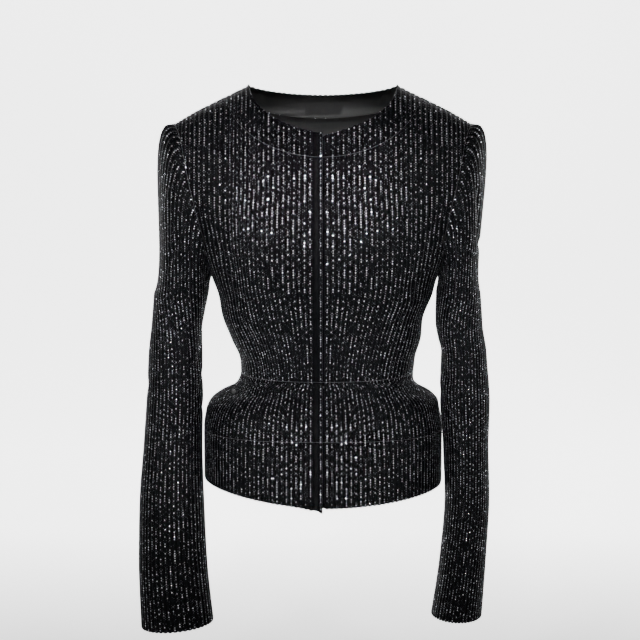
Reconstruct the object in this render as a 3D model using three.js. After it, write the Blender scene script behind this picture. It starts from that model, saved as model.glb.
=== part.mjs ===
// A short fitted jacket of ribbed black leather, worn and filled out, with nobody in it.
// Round neck with a shaped neckband, concealed closing with the right front over the left, waist
// seam, flared peplum with a hem band, and two-piece sleeves with full heads. Millimetres.
// The front faces -Y, the wearer's left is +X and +Z is up. The origin lies midway between the
// two side neck points, where the wearer's shoulders carry the jacket.
import * as THREE from "three";

// Cloth: leather worked into upright ribs, thicker at a rib's crest than between two ribs.
const WALL = 3.0;
const RELIEF = 1.5;
const SEAM_GAP = 0.3;
const SCALLOP = 1.3; // how far a rib's round end stands past the valleys on a free edge

// Levels of the seams and edges, and the shoulder line from the side neck point to its tip.
const WAIST_Z = -363;
const HIP_SEAM_Z = -434;
const HEM_Z = -500;
const HEM_DIP = { deep: 17, bend: 1.6 }; // how much lower it hangs at the centre front
const HEM_LEAN = 3; // how much lower it hangs at the wearer's left side, and higher at the right
const NECK_SIDE_X = 93;
const SHOULDER_TIP = { x: 187, z: -49 };
const SHOULDER_BOW = 12; // lifts the shoulder line by a seventh of this near the tip
const SHOULDER_ROLL = { front: 74, back: 62 }; // height over which each face turns over

// Neckline and the seam under the neckband: half-ovals seen from the front.
const NECKLINE = { half: 93, front: 55, back: 16, bend: 1.7 };
const BAND_SEAM = { half: 123, front: 84, back: 45, bend: 2 };

// The right front lies over the left one: it ends a little higher at the neck, lower at the hem.
const LAP_STEP = { neck: 4, hem: 5.5, fade: 45 };

// Ribs from the centre line to the side-front seam, on to the side line, and on the peplum.
const PANEL_RIBS = 18;
const SIDE_RIBS = 12;
const PEPLUM_RIBS = 36;
const ARMHOLE_END = PANEL_RIBS + SIDE_RIBS;

// Above this level the ribs of the bodice stand upright.
const UPRIGHT_Z = -125;
const UNDERARM_Z = -243;

// Cross sections of the body, top to bottom, as ovals.
//   half    half-width          front, back   depths from the side line
//   square  exponent of the oval: 2 is an ellipse, more is squarer
//   shift   how far the sides lie to the wearer's left; the centre line stays upright
//   seam    distance round the front from the centre to the side-front seam
//   pitch   width of a rib at the centre
const BODY = [
  { z: 20, half: 208, front: 52, back: 56, square: 2.3, shift: 0, seam: 118, pitch: 6.6 },
  { z: -49, half: 207, front: 72, back: 72, square: 2.3, shift: 0, seam: 118, pitch: 6.6 },
  { z: -96, half: 200, front: 90, back: 84, square: 2.3, shift: 0, seam: 118, pitch: 6.6 },
  { z: -125, half: 193, front: 98, back: 88, square: 2.3, shift: 0, seam: 118, pitch: 6.6 },
  { z: -151, half: 184, front: 105, back: 90, square: 2.3, shift: 0, seam: 119, pitch: 6.8 },
  { z: -185, half: 170, front: 111, back: 90, square: 2.3, shift: 1, seam: 119, pitch: 6.9 },
  { z: -215, half: 156, front: 113, back: 88, square: 2.3, shift: 2, seam: 118, pitch: 6.9 },
  { z: -243, half: 142, front: 112, back: 86, square: 2.25, shift: 2, seam: 117, pitch: 6.8 },
  { z: -262, half: 136, front: 109, back: 84, square: 2.2, shift: 3, seam: 117, pitch: 6.4 },
  { z: -290, half: 128, front: 105, back: 82, square: 2.2, shift: 0, seam: 110, pitch: 5.6 },
  { z: -320, half: 121.5, front: 98, back: 80, square: 2.2, shift: 4, seam: 96, pitch: 4.8 },
  { z: -349, half: 111.5, front: 92, back: 78, square: 2.2, shift: 6, seam: 87, pitch: 4.3 },
  { z: -366, half: 110, front: 90, back: 78, square: 2.2, shift: 5, seam: 85, pitch: 4.2 },
  { z: -374, half: 112, front: 93, back: 80, square: 2.2, shift: 4, seam: 118, pitch: 5.2 },
  { z: -381, half: 118, front: 97, back: 84, square: 2.2, shift: 4, seam: 118, pitch: 5.3 },
  { z: -390, half: 135, front: 102, back: 92, square: 2.3, shift: 3, seam: 118, pitch: 5.5 },
  { z: -400, half: 145.5, front: 106, back: 99, square: 2.4, shift: 1.5, seam: 118, pitch: 5.7 },
  { z: -411, half: 149, front: 110, back: 104, square: 2.5, shift: 0, seam: 118, pitch: 5.8 },
  { z: -434, half: 152, front: 114, back: 108, square: 2.5, shift: 0, seam: 118, pitch: 5.9 },
  { z: -480, half: 152, front: 116, back: 110, square: 2.4, shift: 0, seam: 118, pitch: 6.0 },
  { z: -530, half: 151, front: 116, back: 110, square: 2.4, shift: 0, seam: 118, pitch: 6.0 },
];

// Fullness worked into each front over the bust.
const BUST = { x: 80, z: -205, out: 10, width: 46, height: 54 };

// Curved seams and the armhole, by the rib that they cross, counted from the centre line.
const SIDE_FRONT_TOP = [
  { rib: 18, z: -232 },
  { rib: 20, z: -228 },
  { rib: 22, z: -216 },
  { rib: 24, z: -190 },
];
const UNDERARM = [
  { rib: 24, z: -190 },
  { rib: 25.5, z: -214 },
  { rib: 27, z: -230 },
  { rib: 28.5, z: -240 },
  { rib: 30, z: -243 },
];
const ARMHOLE = [
  { rib: 24, front: -190, back: -190 },
  { rib: 24.5, front: -163, back: -170 },
  { rib: 25, front: -141, back: -151 },
  { rib: 26, front: -112, back: -121 },
  { rib: 27, front: -88, back: -96 },
  { rib: 28, front: -66, back: -74 },
  { rib: 29, front: -55, back: -58 },
  { rib: 30, front: -49, back: -49 },
];

// Rows of points up each panel, as shares of its height.
const BODICE_ROWS = [0, 0.16, 0.29, 0.4, 0.58, 0.74, 0.88, 0.97, 1];
const SIDE_ROWS = [0, 0.4, 0.725, 1];
const SEAM_ROW = SIDE_ROWS.length - 1; // row of the bodice at the top of the side-front seam
const NECKBAND_ROWS = [0, 0.6, 1];
const PEPLUM_ROWS = [0, 0.36, 0.58, 0.78, 1];
const HEM_ROWS = [0, 1];

// Columns of points at the front edges: distance from the centre line towards the panel's own
// side, whether on a crest, and how deep the left front's underlap is sunk below the right one.
const RIGHT_EDGE = [
  { s: 0.4, high: false, sunk: 0 },
  { s: 2.9, high: true, sunk: 0 },
  { s: 5.4, high: false, sunk: 0 },
  { s: 9, high: false, sunk: 0.4 },
];
const LEFT_EDGE = [
  { s: -9, high: false, sunk: 2.2 },
  { s: -4, high: false, sunk: 2.2 },
  { s: 0.5, high: false, sunk: 2.2 },
];
const FIRST_RIB = { right: 12.5, left: 1.9 };

// Cross sections of each sleeve from the upper arm to the cuff, as upright ovals.
//   x, y    centre, x outwards from the middle of the body
//   wide, deep   half-width from side to side and half-depth from front to back
//   twist   degrees by which the ribs have wound towards the body
const SLEEVES = {
  right: [
    { z: -262, x: 179.5, y: 0, wide: 35, deep: 52, twist: -10 },
    { z: -300, x: 184.5, y: -3, wide: 33, deep: 47, twist: -26 },
    { z: -340, x: 187, y: -9, wide: 34.5, deep: 44, twist: -35 },
    { z: -390, x: 187.5, y: -20, wide: 36, deep: 42, twist: -36 },
    { z: -450, x: 189.5, y: -34, wide: 37.5, deep: 40, twist: -36 },
    { z: -515, x: 191, y: -44, wide: 41, deep: 38, twist: -36 },
    { z: -590, x: 190, y: -52, wide: 43.5, deep: 35, twist: -36 },
    { z: -690, x: 183.5, y: -58, wide: 47, deep: 33, twist: -36 },
  ],
  left: [
    { z: -262, x: 171.5, y: 0, wide: 28.5, deep: 52, twist: -2 },
    { z: -300, x: 172.5, y: -3, wide: 30, deep: 47, twist: -14 },
    { z: -340, x: 178.5, y: -9, wide: 29.5, deep: 45, twist: -22 },
    { z: -390, x: 179.5, y: -20, wide: 32, deep: 43, twist: -24 },
    { z: -450, x: 180, y: -42, wide: 29, deep: 43, twist: -24 },
    { z: -515, x: 182, y: -44, wide: 28.5, deep: 43, twist: -28 },
    { z: -590, x: 177, y: -52, wide: 29.5, deep: 44, twist: -33 },
    { z: -690, x: 166, y: -58, wide: 33.5, deep: 45, twist: -36 },
  ],
};
const CUFF = { right: { z: -677, tilt: 6 }, left: { z: -665, tilt: 1 } }; // tilt: rise towards the body

// The sleeve head, from the underarm (0) by the front to the shoulder tip (180); the back alike.
//   along   share of the armhole's length from the underarm to the tip
//   out, forward, up   how the cloth springs away from the armhole, in mm
//   drop    how firmly it hangs into the upper arm, in mm
//   flare   how far it spreads outwards as it does
//   fold    degrees by which the sleeve folds back on the body at the seam
const SLEEVE_HEAD = [
  { angle: 0, along: 0, out: 6, forward: 0, up: -8, drop: 16, flare: 0, fold: 165 },
  { angle: 40, along: 0.24, out: 14, forward: 8, up: -14, drop: 34, flare: 0, fold: 95 },
  { angle: 75, along: 0.47, out: 30, forward: 22, up: -30, drop: 70, flare: 8, fold: 45 },
  { angle: 110, along: 0.68, out: 60, forward: 28, up: -6, drop: 110, flare: 30, fold: 20 },
  { angle: 145, along: 0.85, out: 100, forward: 18, up: 34, drop: 135, flare: 48, fold: 0 },
  { angle: 180, along: 1, out: 130, forward: 0, up: 60, drop: 150, flare: 62, fold: 0 },
];
const HEAD_FULLNESS = { right: { out: 1.02, flare: 0.9 }, left: { out: 1.05, flare: 0.55 } };
const SLEEVE_PIECES = {
  upper: { from: 75, to: 285, ribs: 26 },
  under: { from: -75, to: 75, ribs: 18 },
};
const SLEEVE_SEAM_INSET = 0.25; // degrees
const ARMHOLE_GAP = 0.4;
const HEAD_END = 0.42; // share of the sleeve's rows that form the head
const SLEEVE_ROWS = [0, 0.09, 0.23, 0.42, 0.53, 0.67, 0.83, 1];

const SIDES = { right: -1, left: 1 };

const clamp01 = (t) => Math.min(1, Math.max(0, t));
const mix = (a, b, t) => a + (b - a) * t;
const radians = (degrees) => (degrees * Math.PI) / 180;

// A table's value between its rows, on a curve through them that doesn't overshoot.
function read(table, key, value, column) {
  const rows = table[1][key] > table[0][key] ? table : [...table].reverse();
  const last = rows.length - 1;
  if (value <= rows[0][key]) return rows[0][column];
  if (value >= rows[last][key]) return rows[last][column];
  let i = 0;
  while (value > rows[i + 1][key]) i++;
  const slope = (k) => (rows[k + 1][column] - rows[k][column]) / (rows[k + 1][key] - rows[k][key]);
  const tangent = (k) => {
    if (k === 0) return slope(0);
    if (k === last) return slope(last - 1);
    const [a, b] = [slope(k - 1), slope(k)];
    return a * b <= 0 ? 0 : (2 * a * b) / (a + b);
  };
  const step = rows[i + 1][key] - rows[i][key];
  const t = (value - rows[i][key]) / step;
  const rise = rows[i + 1][column] - rows[i][column];
  const [m, n] = [tangent(i) * step, tangent(i + 1) * step];
  return rows[i][column] + t * (m + t * (3 * rise - 2 * m - n + t * (m + n - 2 * rise)));
}

const body = (z, column) => read(BODY, "z", z, column);
function shoulderZ(x) {
  const t = (Math.abs(x) - NECK_SIDE_X) / (SHOULDER_TIP.x - NECK_SIDE_X);
  return SHOULDER_TIP.z * t + SHOULDER_BOW * Math.max(0, t) ** 2 * (1 - t);
}

const bellZ = (shape, deep, x) => {
  const share = Math.min(1, Math.abs(x) / shape.half);
  return Math.min(shoulderZ(x), -deep * (1 - share ** shape.bend) ** (1 / shape.bend));
};

// A quarter of one section, from the centre line to the side line, with distances along it.
const QUARTER_STEPS = 60;
function quarter(z, face) {
  const [half, deep, power] = [body(z, "half"), body(z, face), 2 / body(z, "square")];
  const points = [];
  for (let i = 0; i <= QUARTER_STEPS; i++) {
    const angle = ((Math.PI / 2) * i) / QUARTER_STEPS;
    const x = half * Math.sin(angle) ** power;
    const y = i === QUARTER_STEPS ? 0 : deep * Math.cos(angle) ** power;
    const before = points[i - 1];
    points.push({ x, y, along: i ? before.along + Math.hypot(x - before.x, y - before.y) : 0 });
  }
  return points;
}

function pick(points, value) {
  let i = 0;
  while (i < points.length - 2 && points[i + 1].along < value) i++;
  const [a, b] = [points[i], points[i + 1]];
  const t = clamp01((value - a.along) / (b.along - a.along));
  return { x: mix(a.x, b.x, t), y: mix(a.y, b.y, t) };
}

// How far a place x outwards from the centre line lies to the wearer's left.
const leaning = (x, z) => body(z, "shift") * Math.min(1, Math.abs(x) / body(z, "half")) ** 2;

// A point of the body's outer face, at a distance round it from the centre line and a height.
function bodyPoint(face, along, z) {
  let { x, y } = pick(quarter(Math.min(z, UPRIGHT_Z), face), Math.abs(along));
  if (z > UPRIGHT_Z) {
    const square = body(z, "square");
    y = body(z, face) * (1 - Math.min(1, x / body(z, "half")) ** square) ** (1 / square);
  }
  const turn = 1 - clamp01((shoulderZ(x) - z) / SHOULDER_ROLL[face]);
  y *= Math.sqrt(1 - turn * turn);
  if (z > UPRIGHT_Z) y = Math.max(y, SEAM_GAP / 2);
  if (face === "front") {
    y += BUST.out * Math.exp(-(((x - BUST.x) / BUST.width) ** 2) - ((z - BUST.z) / BUST.height) ** 2);
  }
  return new THREE.Vector3(along < 0 ? -x : x, face === "front" ? -y : y, z);
}

const NEARBY = 0.6; // distance over which a slope is measured

function bodyNormal(face, along, z) {
  const across = bodyPoint(face, along + NEARBY, z).sub(bodyPoint(face, along - NEARBY, z));
  const up = bodyPoint(face, along, z + NEARBY).sub(bodyPoint(face, along, z - NEARBY));
  return across.cross(up).normalize().multiplyScalar(face === "front" ? 1 : -1);
}

// Distance round the body from the centre line to a place given in millimetres and ribs.
function bodiceAlong(face, place, z) {
  const ribs = Math.abs(place.rib);
  const level = Math.min(z, UPRIGHT_Z);
  const [seam, pitch] = [body(level, "seam"), body(level, "pitch")];
  const spare = seam - place.start - PANEL_RIBS * pitch;
  let along = place.start + ribs * pitch + spare * clamp01(ribs / PANEL_RIBS) ** 3;
  if (ribs > PANEL_RIBS) {
    const low = Math.min(level, UNDERARM_Z);
    const side = (quarter(low, face)[QUARTER_STEPS].along - body(low, "seam")) / SIDE_RIBS;
    along = seam + (ribs - PANEL_RIBS) * side;
  }
  return place.rib < 0 ? -along : along;
}

function peplumAlong(face, place, z) {
  const ribs = Math.abs(place.rib);
  const pitch = body(z, "pitch");
  const spare = quarter(z, face)[QUARTER_STEPS].along - place.start - PEPLUM_RIBS * pitch;
  const along = place.start + ribs * pitch + spare * (ribs / PEPLUM_RIBS) ** 3;
  return place.rib < 0 ? -along : along;
}

// Columns of a panel: valleys at whole ribs and crests half way between them.
function ribColumns(face, from, to, start = 0) {
  const columns = [];
  for (let half = Math.round(2 * from); half <= Math.round(2 * to); half++) {
    columns.push({ face, start, rib: half / 2, high: half % 2 !== 0, sunk: 0, from: 0 });
  }
  return columns;
}

const edgeColumn = ({ s, high, sunk }) => ({ face: "front", start: s, rib: 0, high, sunk, from: 0 });

// The columns that go on to the inside, where the cloth is plain: one for every second rib, and
// one for each rib that ends on the armhole.
function keptColumns(columns) {
  const last = columns.length - 1;
  const kept = (column, i) => {
    const every = Math.abs(column.rib) > ARMHOLE[0].rib ? 1 : 2;
    return i === 0 || i === last || column.sunk > 0 || column.rib % every === 0;
  };
  return [...columns.keys()].filter((i) => kept(columns[i], i));
}

// A closed wall from a frame of points and normals: ribbed outside, plain inside. A column whose
// lower rows are cut away starts at its row from.
function ribbedWall(columns, rowCount, frameAt, mirrored) {
  const kept = keptColumns(columns);
  const positions = [];
  const add = (point) => positions.push(point.x, point.y, point.z) / 3 - 1;
  const outer = columns.map(() => []);
  const inner = columns.map(() => []);
  columns.forEach((column, i) => {
    for (let j = column.from; j < rowCount; j++) {
      const { point, normal } = frameAt(column, j);
      const dip = (column.high ? 0 : RELIEF) + column.sunk;
      outer[i][j] = add(point.clone().addScaledVector(normal, -dip));
      if (kept.includes(i)) inner[i][j] = add(point.addScaledVector(normal, -WALL - column.sunk));
    }
  });
  const faces = [];
  const triangle = (a, b, c) => faces.push(...(mirrored ? [a, c, b] : [a, b, c]));
  const strip = (a, b, from, to = rowCount - 1) => {
    for (let j = from; j < to; j++) {
      triangle(a[j], b[j], b[j + 1]);
      triangle(a[j], b[j + 1], a[j + 1]);
    }
  };
  const edge = (i, onward, from, to = rowCount - 1) => {
    const facing = (a, b, c) => (onward ? triangle(a, b, c) : triangle(a, c, b));
    for (let j = from; j < to; j++) {
      facing(outer[i][j], inner[i][j], inner[i][j + 1]);
      facing(outer[i][j], inner[i][j + 1], outer[i][j + 1]);
    }
  };
  const last = columns.length - 1;
  for (let i = 0; i < last; i++) {
    const [here, next] = [columns[i].from, columns[i + 1].from];
    strip(outer[i], outer[i + 1], Math.max(here, next));
    edge(i, true, here, next);
    edge(i + 1, false, next, here);
  }
  edge(0, false, columns[0].from);
  edge(last, true, columns[last].from);
  for (let k = 0; k < kept.length - 1; k++) {
    const [left, right] = [kept[k], kept[k + 1]];
    const middle = (left + right) >> 1;
    const low = Math.max(columns[left].from, columns[right].from);
    strip(inner[right], inner[left], low);
    for (const j of [low, rowCount - 1]) {
      const rim = (a, b, c) => (j > low ? triangle(a, b, c) : triangle(a, c, b));
      for (let i = left; i < right; i++) {
        rim(outer[i][j], outer[i + 1][j], inner[i < middle ? left : right][j]);
      }
      rim(inner[left][j], outer[middle][j], inner[right][j]);
    }
  }
  return new THREE.BufferGeometry()
    .setAttribute("position", new THREE.BufferAttribute(new Float32Array(positions), 3))
    .setIndex(faces);
}

const jacket = new THREE.Group();
function addPiece(name, geometry) {
  const material = new THREE.MeshStandardMaterial({ color: 0x0c0c0e, roughness: 0.3, metalness: 0 });
  const piece = new THREE.Mesh(geometry, material);
  piece.name = name;
  jacket.add(piece);
}

// A row's share of a column's height. The seam's own column has its lower rows level with the side
// panel's, and the columns past it have only the upper rows.
function rowShare(column, rows, j, height) {
  const above = (rows[j] - rows[SEAM_ROW]) / (1 - rows[SEAM_ROW]);
  if (column.from) return above;
  if (!column.seam) return rows[j];
  const level = (SIDE_FRONT_TOP[0].z - WAIST_Z) / height;
  return j > SEAM_ROW ? mix(level, 1, above) : SIDE_ROWS[j] * level;
}

// A panel of the body. low and high give a column's two ends, each { z, free, ridge }: free means
// an open edge with scallops instead of a seam, and ridge the shoulder line.
function bodyPanel(side, columns, rows, alongAt, low, high) {
  const frameAt = (column, j) => {
    const [bottom, top] = [low(column), high(column)];
    const stand = column.high ? SCALLOP : 0;
    const from = bottom.z + (bottom.free ? -stand : SEAM_GAP / 2);
    const to = top.z + (top.free ? stand : top.ridge ? 0 : -SEAM_GAP / 2);
    const z = mix(from, to, rowShare(column, rows, j, to - from));
    const along = alongAt(column.face, column, z) + (column.nudge ?? 0);
    const point = bodyPoint(column.face, along, z);
    const normal = bodyNormal(column.face, along, z);
    if (top.ridge && j === rows.length - 1) normal.setY(0).normalize();
    point.x = side * point.x + leaning(point.x, z);
    normal.x *= side;
    return { point, normal };
  };
  return ribbedWall(columns, rows.length, frameAt, side < 0);
}

function columnX(column) {
  const along = bodiceAlong(column.face, column, UPRIGHT_Z);
  return bodyPoint(column.face, along, UPRIGHT_Z).x;
}

const fade = (x) => Math.max(0, 1 - Math.abs(x) / LAP_STEP.fade) ** 2;
const lapNeck = (side, x) => (side > 0 ? -LAP_STEP.neck * fade(x) : 0);
function seamTop(column) {
  const x = columnX(column);
  const z = bellZ(BAND_SEAM, BAND_SEAM[column.face], x);
  return { z, ridge: z === shoulderZ(x) };
}

const waist = () => ({ z: WAIST_Z });
const hipSeam = () => ({ z: HIP_SEAM_Z });

function neckline(side) {
  return (column) => {
    const x = columnX(column);
    const z = bellZ(NECKLINE, NECKLINE[column.face], x) + lapNeck(side, x);
    return { z, free: z < shoulderZ(x) - 1, ridge: z === shoulderZ(x) };
  };
}

function hem(side) {
  return (column) => {
    const { x } = bodyPoint(column.face, peplumAlong(column.face, column, HEM_Z), HEM_Z);
    const front = column.face === "front";
    const out = Math.min(1, Math.abs(x) / body(HEM_Z, "half"));
    const dip = front ? HEM_DIP.deep * (1 - out ** HEM_DIP.bend) : 0;
    const lean = HEM_LEAN * out * Math.sign(x) * (side || 1);
    const step = front && side < 0 ? LAP_STEP.hem * fade(x) : 0;
    return { z: HEM_Z - dip - lean - step, free: true };
  };
}

// A column's lower end on a front or back panel: the waist, then the seam, then the armhole.
function panelLow(column) {
  const rib = Math.abs(column.rib);
  if (rib <= PANEL_RIBS) return { z: WAIST_Z };
  if (rib < ARMHOLE[0].rib) return { z: read(SIDE_FRONT_TOP, "rib", rib, "z") };
  return { z: read(ARMHOLE, "rib", rib, column.face) };
}

function sidePanelHigh(column) {
  const junction = UNDERARM[0].rib;
  return { z: read(column.rib < junction ? SIDE_FRONT_TOP : UNDERARM, "rib", column.rib, "z") };
}

const edges = { right: RIGHT_EDGE.map(edgeColumn), left: LEFT_EDGE.map(edgeColumn) };
const REACH = ARMHOLE_END - 0.5;

// A front or back panel keeps its full height as far as the side seam, and beyond it only the part
// above the side panel.
const cutAtSeam = (column) => {
  const past = Math.abs(column.rib) - PANEL_RIBS;
  return { ...column, from: past > 0 ? SEAM_ROW : 0, seam: past === 0 };
};

function addBodice() {
  for (const [name, side] of Object.entries(SIDES)) {
    const ribs = ribColumns("front", 0, REACH, FIRST_RIB[name]);
    const columns = [...edges[name], ...ribs].map(cutAtSeam);
    addPiece(`front_${name}`, bodyPanel(side, columns, BODICE_ROWS, bodiceAlong, panelLow, seamTop));
    const sideColumns = [
      ...ribColumns("front", PANEL_RIBS, ARMHOLE_END, FIRST_RIB[name]),
      ...ribColumns("back", PANEL_RIBS, ARMHOLE_END - 0.5).reverse(),
    ];
    sideColumns[0].nudge = SEAM_GAP;
    sideColumns[sideColumns.length - 1].nudge = SEAM_GAP;
    addPiece(`side_${name}`, bodyPanel(side, sideColumns, SIDE_ROWS, bodiceAlong, waist, sidePanelHigh));
  }
  const back = ribColumns("back", -REACH, REACH).map(cutAtSeam).reverse();
  addPiece("back", bodyPanel(1, back, BODICE_ROWS, bodiceAlong, panelLow, seamTop));
}

// The bands and the peplum: each a right front, a left front and a back.
function addBand(name, rows, alongAt, ribs, low, high) {
  for (const [part, side] of Object.entries(SIDES)) {
    const columns = [...edges[part], ...ribColumns("front", 0, ribs, FIRST_RIB[part])];
    columns[columns.length - 1].nudge = -SEAM_GAP / 2;
    addPiece(`${name}_${part}`, bodyPanel(side, columns, rows, alongAt, low(side), high(side)));
  }
  const back = ribColumns("back", -ribs, ribs).reverse();
  back[0].nudge = -SEAM_GAP / 2;
  back[back.length - 1].nudge = SEAM_GAP / 2;
  addPiece(`${name}_back`, bodyPanel(1, back, rows, alongAt, low(0), high(0)));
}

const NECKBAND_RIBS = 18.5;
const both = (edge) => () => edge;
addBodice();
addBand("neckband", NECKBAND_ROWS, bodiceAlong, NECKBAND_RIBS, both(seamTop), neckline);
addBand("peplum", PEPLUM_ROWS, peplumAlong, PEPLUM_RIBS, both(hipSeam), both(waist));
addBand("hemband", HEM_ROWS, peplumAlong, PEPLUM_RIBS, hem, both(hipSeam));

// The armhole of one side as a line of places with the body's normal and the way off the body.
function armholeLoop(side, face) {
  const places = [];
  for (let rib = ARMHOLE_END; rib > ARMHOLE[0].rib; rib -= 0.5) {
    places.push({ rib, z: read(UNDERARM, "rib", rib, "z") });
  }
  for (let rib = ARMHOLE[0].rib; rib <= ARMHOLE_END; rib += 0.5) {
    places.push({ rib, z: read(ARMHOLE, "rib", rib, face) });
  }
  const loop = places.map(({ rib, z }) => {
    const along = bodiceAlong(face, { start: FIRST_RIB.right, rib }, z);
    const point = bodyPoint(face, along, z);
    point.x += side * leaning(point.x, z);
    return { point, normal: bodyNormal(face, along, z) };
  });
  loop.forEach((entry, i) => {
    const [a, b] = [loop[Math.max(0, i - 1)], loop[Math.min(loop.length - 1, i + 1)]];
    const way = b.point.clone().sub(a.point);
    entry.off = way.cross(entry.normal).normalize().multiplyScalar(face === "front" ? 1 : -1);
    entry.along = i ? loop[i - 1].along + entry.point.distanceTo(loop[i - 1].point) : 0;
  });
  for (const entry of loop) entry.along /= loop[loop.length - 1].along;
  return loop;
}

function loopAt(loop, share) {
  let i = 0;
  while (i < loop.length - 2 && loop[i + 1].along < share) i++;
  const [a, b] = [loop[i], loop[i + 1]];
  const t = clamp01((share - a.along) / (b.along - a.along));
  const [point, normal, off] = ["point", "normal", "off"].map((key) => a[key].clone().lerp(b[key], t));
  return { point, normal: normal.normalize(), off: off.normalize() };
}

const loops = {};
for (const [name, side] of Object.entries(SIDES)) {
  loops[name] = { front: armholeLoop(side, "front"), back: armholeLoop(side, "back") };
}

// Where the sleeve springs from the armhole, at an angle round it, and how it does.
function sleeveRoot(name, angle) {
  const turn = ((angle % 360) + 360) % 360;
  const [face, from] = turn > 180 ? ["back", 360 - turn] : ["front", turn];
  const head = (column) => read(SLEEVE_HEAD, "angle", from, column);
  const { point, normal, off } = loopAt(loops[name][face], head("along"));
  const fold = radians(head("fold"));
  const gap = Math.max(0, fold - Math.PI / 2);
  point.addScaledVector(off, ARMHOLE_GAP * Math.cos(gap));
  point.addScaledVector(normal, ARMHOLE_GAP * Math.sin(gap));
  const inward = normal.clone().multiplyScalar(-Math.cos(fold)).addScaledVector(off, Math.sin(fold));
  const forward = face === "front" ? -head("forward") : head("forward");
  const full = HEAD_FULLNESS[name];
  const spring = new THREE.Vector3(head("out") * full.out, forward, head("up"));
  return { point, inward, spring, drop: head("drop"), flare: head("flare") * full.flare };
}

function sleeveRing(name, angle, z) {
  const ring = (column) => read(SLEEVES[name], "z", z, column);
  const a = radians(angle + ring("twist"));
  const x = ring("x") - ring("wide") * Math.cos(a);
  return new THREE.Vector3(x, ring("y") - ring("deep") * Math.sin(a), z);
}

const HANG_STEP = 8; // below the head's end, where the way that the sleeve hangs is measured

// A point of a sleeve's outer face, with x outwards. share runs from the armhole to the cuff.
function sleevePoint(name, angle, share, reach = 0) {
  const top = SLEEVES[name][0].z;
  if (share >= HEAD_END) {
    const { z, tilt } = CUFF[name];
    const foot = z + tilt * Math.cos(radians(angle)) - reach;
    return sleeveRing(name, angle, mix(top, foot, (share - HEAD_END) / (1 - HEAD_END)));
  }
  const t = share / HEAD_END;
  const { point, spring, drop, flare } = sleeveRoot(name, angle);
  const end = sleeveRing(name, angle, top);
  const hang = sleeveRing(name, angle, top - HANG_STEP).sub(end).normalize().multiplyScalar(drop);
  hang.x += flare;
  return point
    .multiplyScalar((1 + 2 * t) * (1 - t) ** 2)
    .addScaledVector(spring, t * (1 - t) ** 2)
    .addScaledVector(end, t * t * (3 - 2 * t))
    .addScaledVector(hang, t * t * (t - 1));
}

const SLEEVE_NEARBY = { angle: 1, share: 0.004 }; // steps over which a sleeve's slope is measured

function sleeveNormal(name, angle, share) {
  const { angle: turn, share: step } = SLEEVE_NEARBY;
  const around = sleevePoint(name, angle + turn, share).sub(sleevePoint(name, angle - turn, share));
  const below = sleevePoint(name, angle, Math.min(1, share + step));
  const down = below.sub(sleevePoint(name, angle, Math.max(0, share - step)));
  return around.cross(down).normalize().negate();
}

function addSleeves() {
  for (const [name, side] of Object.entries(SIDES)) {
    for (const [part, piece] of Object.entries(SLEEVE_PIECES)) {
      const columns = ribColumns("front", 0, piece.ribs);
      const span = piece.to - piece.from - 2 * SLEEVE_SEAM_INSET;
      const frameAt = (column, j) => {
        const share = SLEEVE_ROWS[j];
        const angle = piece.from + SLEEVE_SEAM_INSET + (span * column.rib) / piece.ribs;
        const point = sleevePoint(name, angle, share, column.high && share === 1 ? SCALLOP : 0);
        const atSeam = share === 0;
        const normal = atSeam ? sleeveRoot(name, angle).inward.negate() : sleeveNormal(name, angle, share);
        point.x *= side;
        normal.x *= side;
        return { point, normal };
      };
      addPiece(`sleeve_${part}_${name}`, ribbedWall(columns, SLEEVE_ROWS.length, frameAt, side > 0));
    }
  }
}

addSleeves();

export default jacket;
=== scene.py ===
import math
from collections import namedtuple

import bpy
import numpy as np
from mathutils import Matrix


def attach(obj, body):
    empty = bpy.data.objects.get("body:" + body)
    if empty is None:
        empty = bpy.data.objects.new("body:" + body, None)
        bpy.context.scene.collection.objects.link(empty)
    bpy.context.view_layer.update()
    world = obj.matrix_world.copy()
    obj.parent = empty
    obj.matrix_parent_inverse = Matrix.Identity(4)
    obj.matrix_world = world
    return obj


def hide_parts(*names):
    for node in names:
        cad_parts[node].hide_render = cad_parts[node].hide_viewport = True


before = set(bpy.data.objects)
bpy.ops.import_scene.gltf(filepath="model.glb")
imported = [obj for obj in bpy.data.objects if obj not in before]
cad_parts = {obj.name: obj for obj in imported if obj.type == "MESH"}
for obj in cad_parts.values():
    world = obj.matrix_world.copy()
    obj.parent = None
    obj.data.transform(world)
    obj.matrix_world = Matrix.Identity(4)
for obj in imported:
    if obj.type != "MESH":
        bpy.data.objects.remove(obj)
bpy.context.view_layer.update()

# The fronts of the bodice.
# Two panels of glossy black leather worked into upright ribs of small shiny stitches, cut from the
# neckband seam and the shoulder to the waist. The right front laps over the left one.
# Lengths of the jacket are millimetres in this file; its meshes and the stage are in metres.
MM = 0.001
WALL = 3.0
RELIEF = 1.5
SEAM_GAP = 0.3
SCALLOP = 1.3
STITCH = 3.0
STITCH_DEPTH = 0.28
ROWS_OF_STITCHES = 3.0  # on one rib

# How a rib's end sinks towards a free edge or a seam: over what distance, and how far.
END_REACH = {"free": 2.0, "seam": 1.6}
END_SINK = {"free": 0.8 * RELIEF, "seam": 0.7}

# Rows of points: distance between rows inside the wall, least distance of a row from a column's
# end and from a seam's level as shares of a row, how near counts as on the seam, and points on a
# quarter of the body.
INSIDE_PITCH = {"body": 13.0, "sleeve": 10.0}
END_ROOM = 0.4
SEAM_ROOM = 0.2
TOUCH = 0.01
QUARTER_POINTS = 61

WAIST_Z = -363
NECK_SIDE_X = 93
SHOULDER_TIP = (187, -49)
SHOULDER_BOW = 12
SHOULDER_ROLL = {"front": 74, "back": 62}
BAND_SEAM = {"half": 123, "front": 84, "back": 45, "bend": 2}

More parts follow.
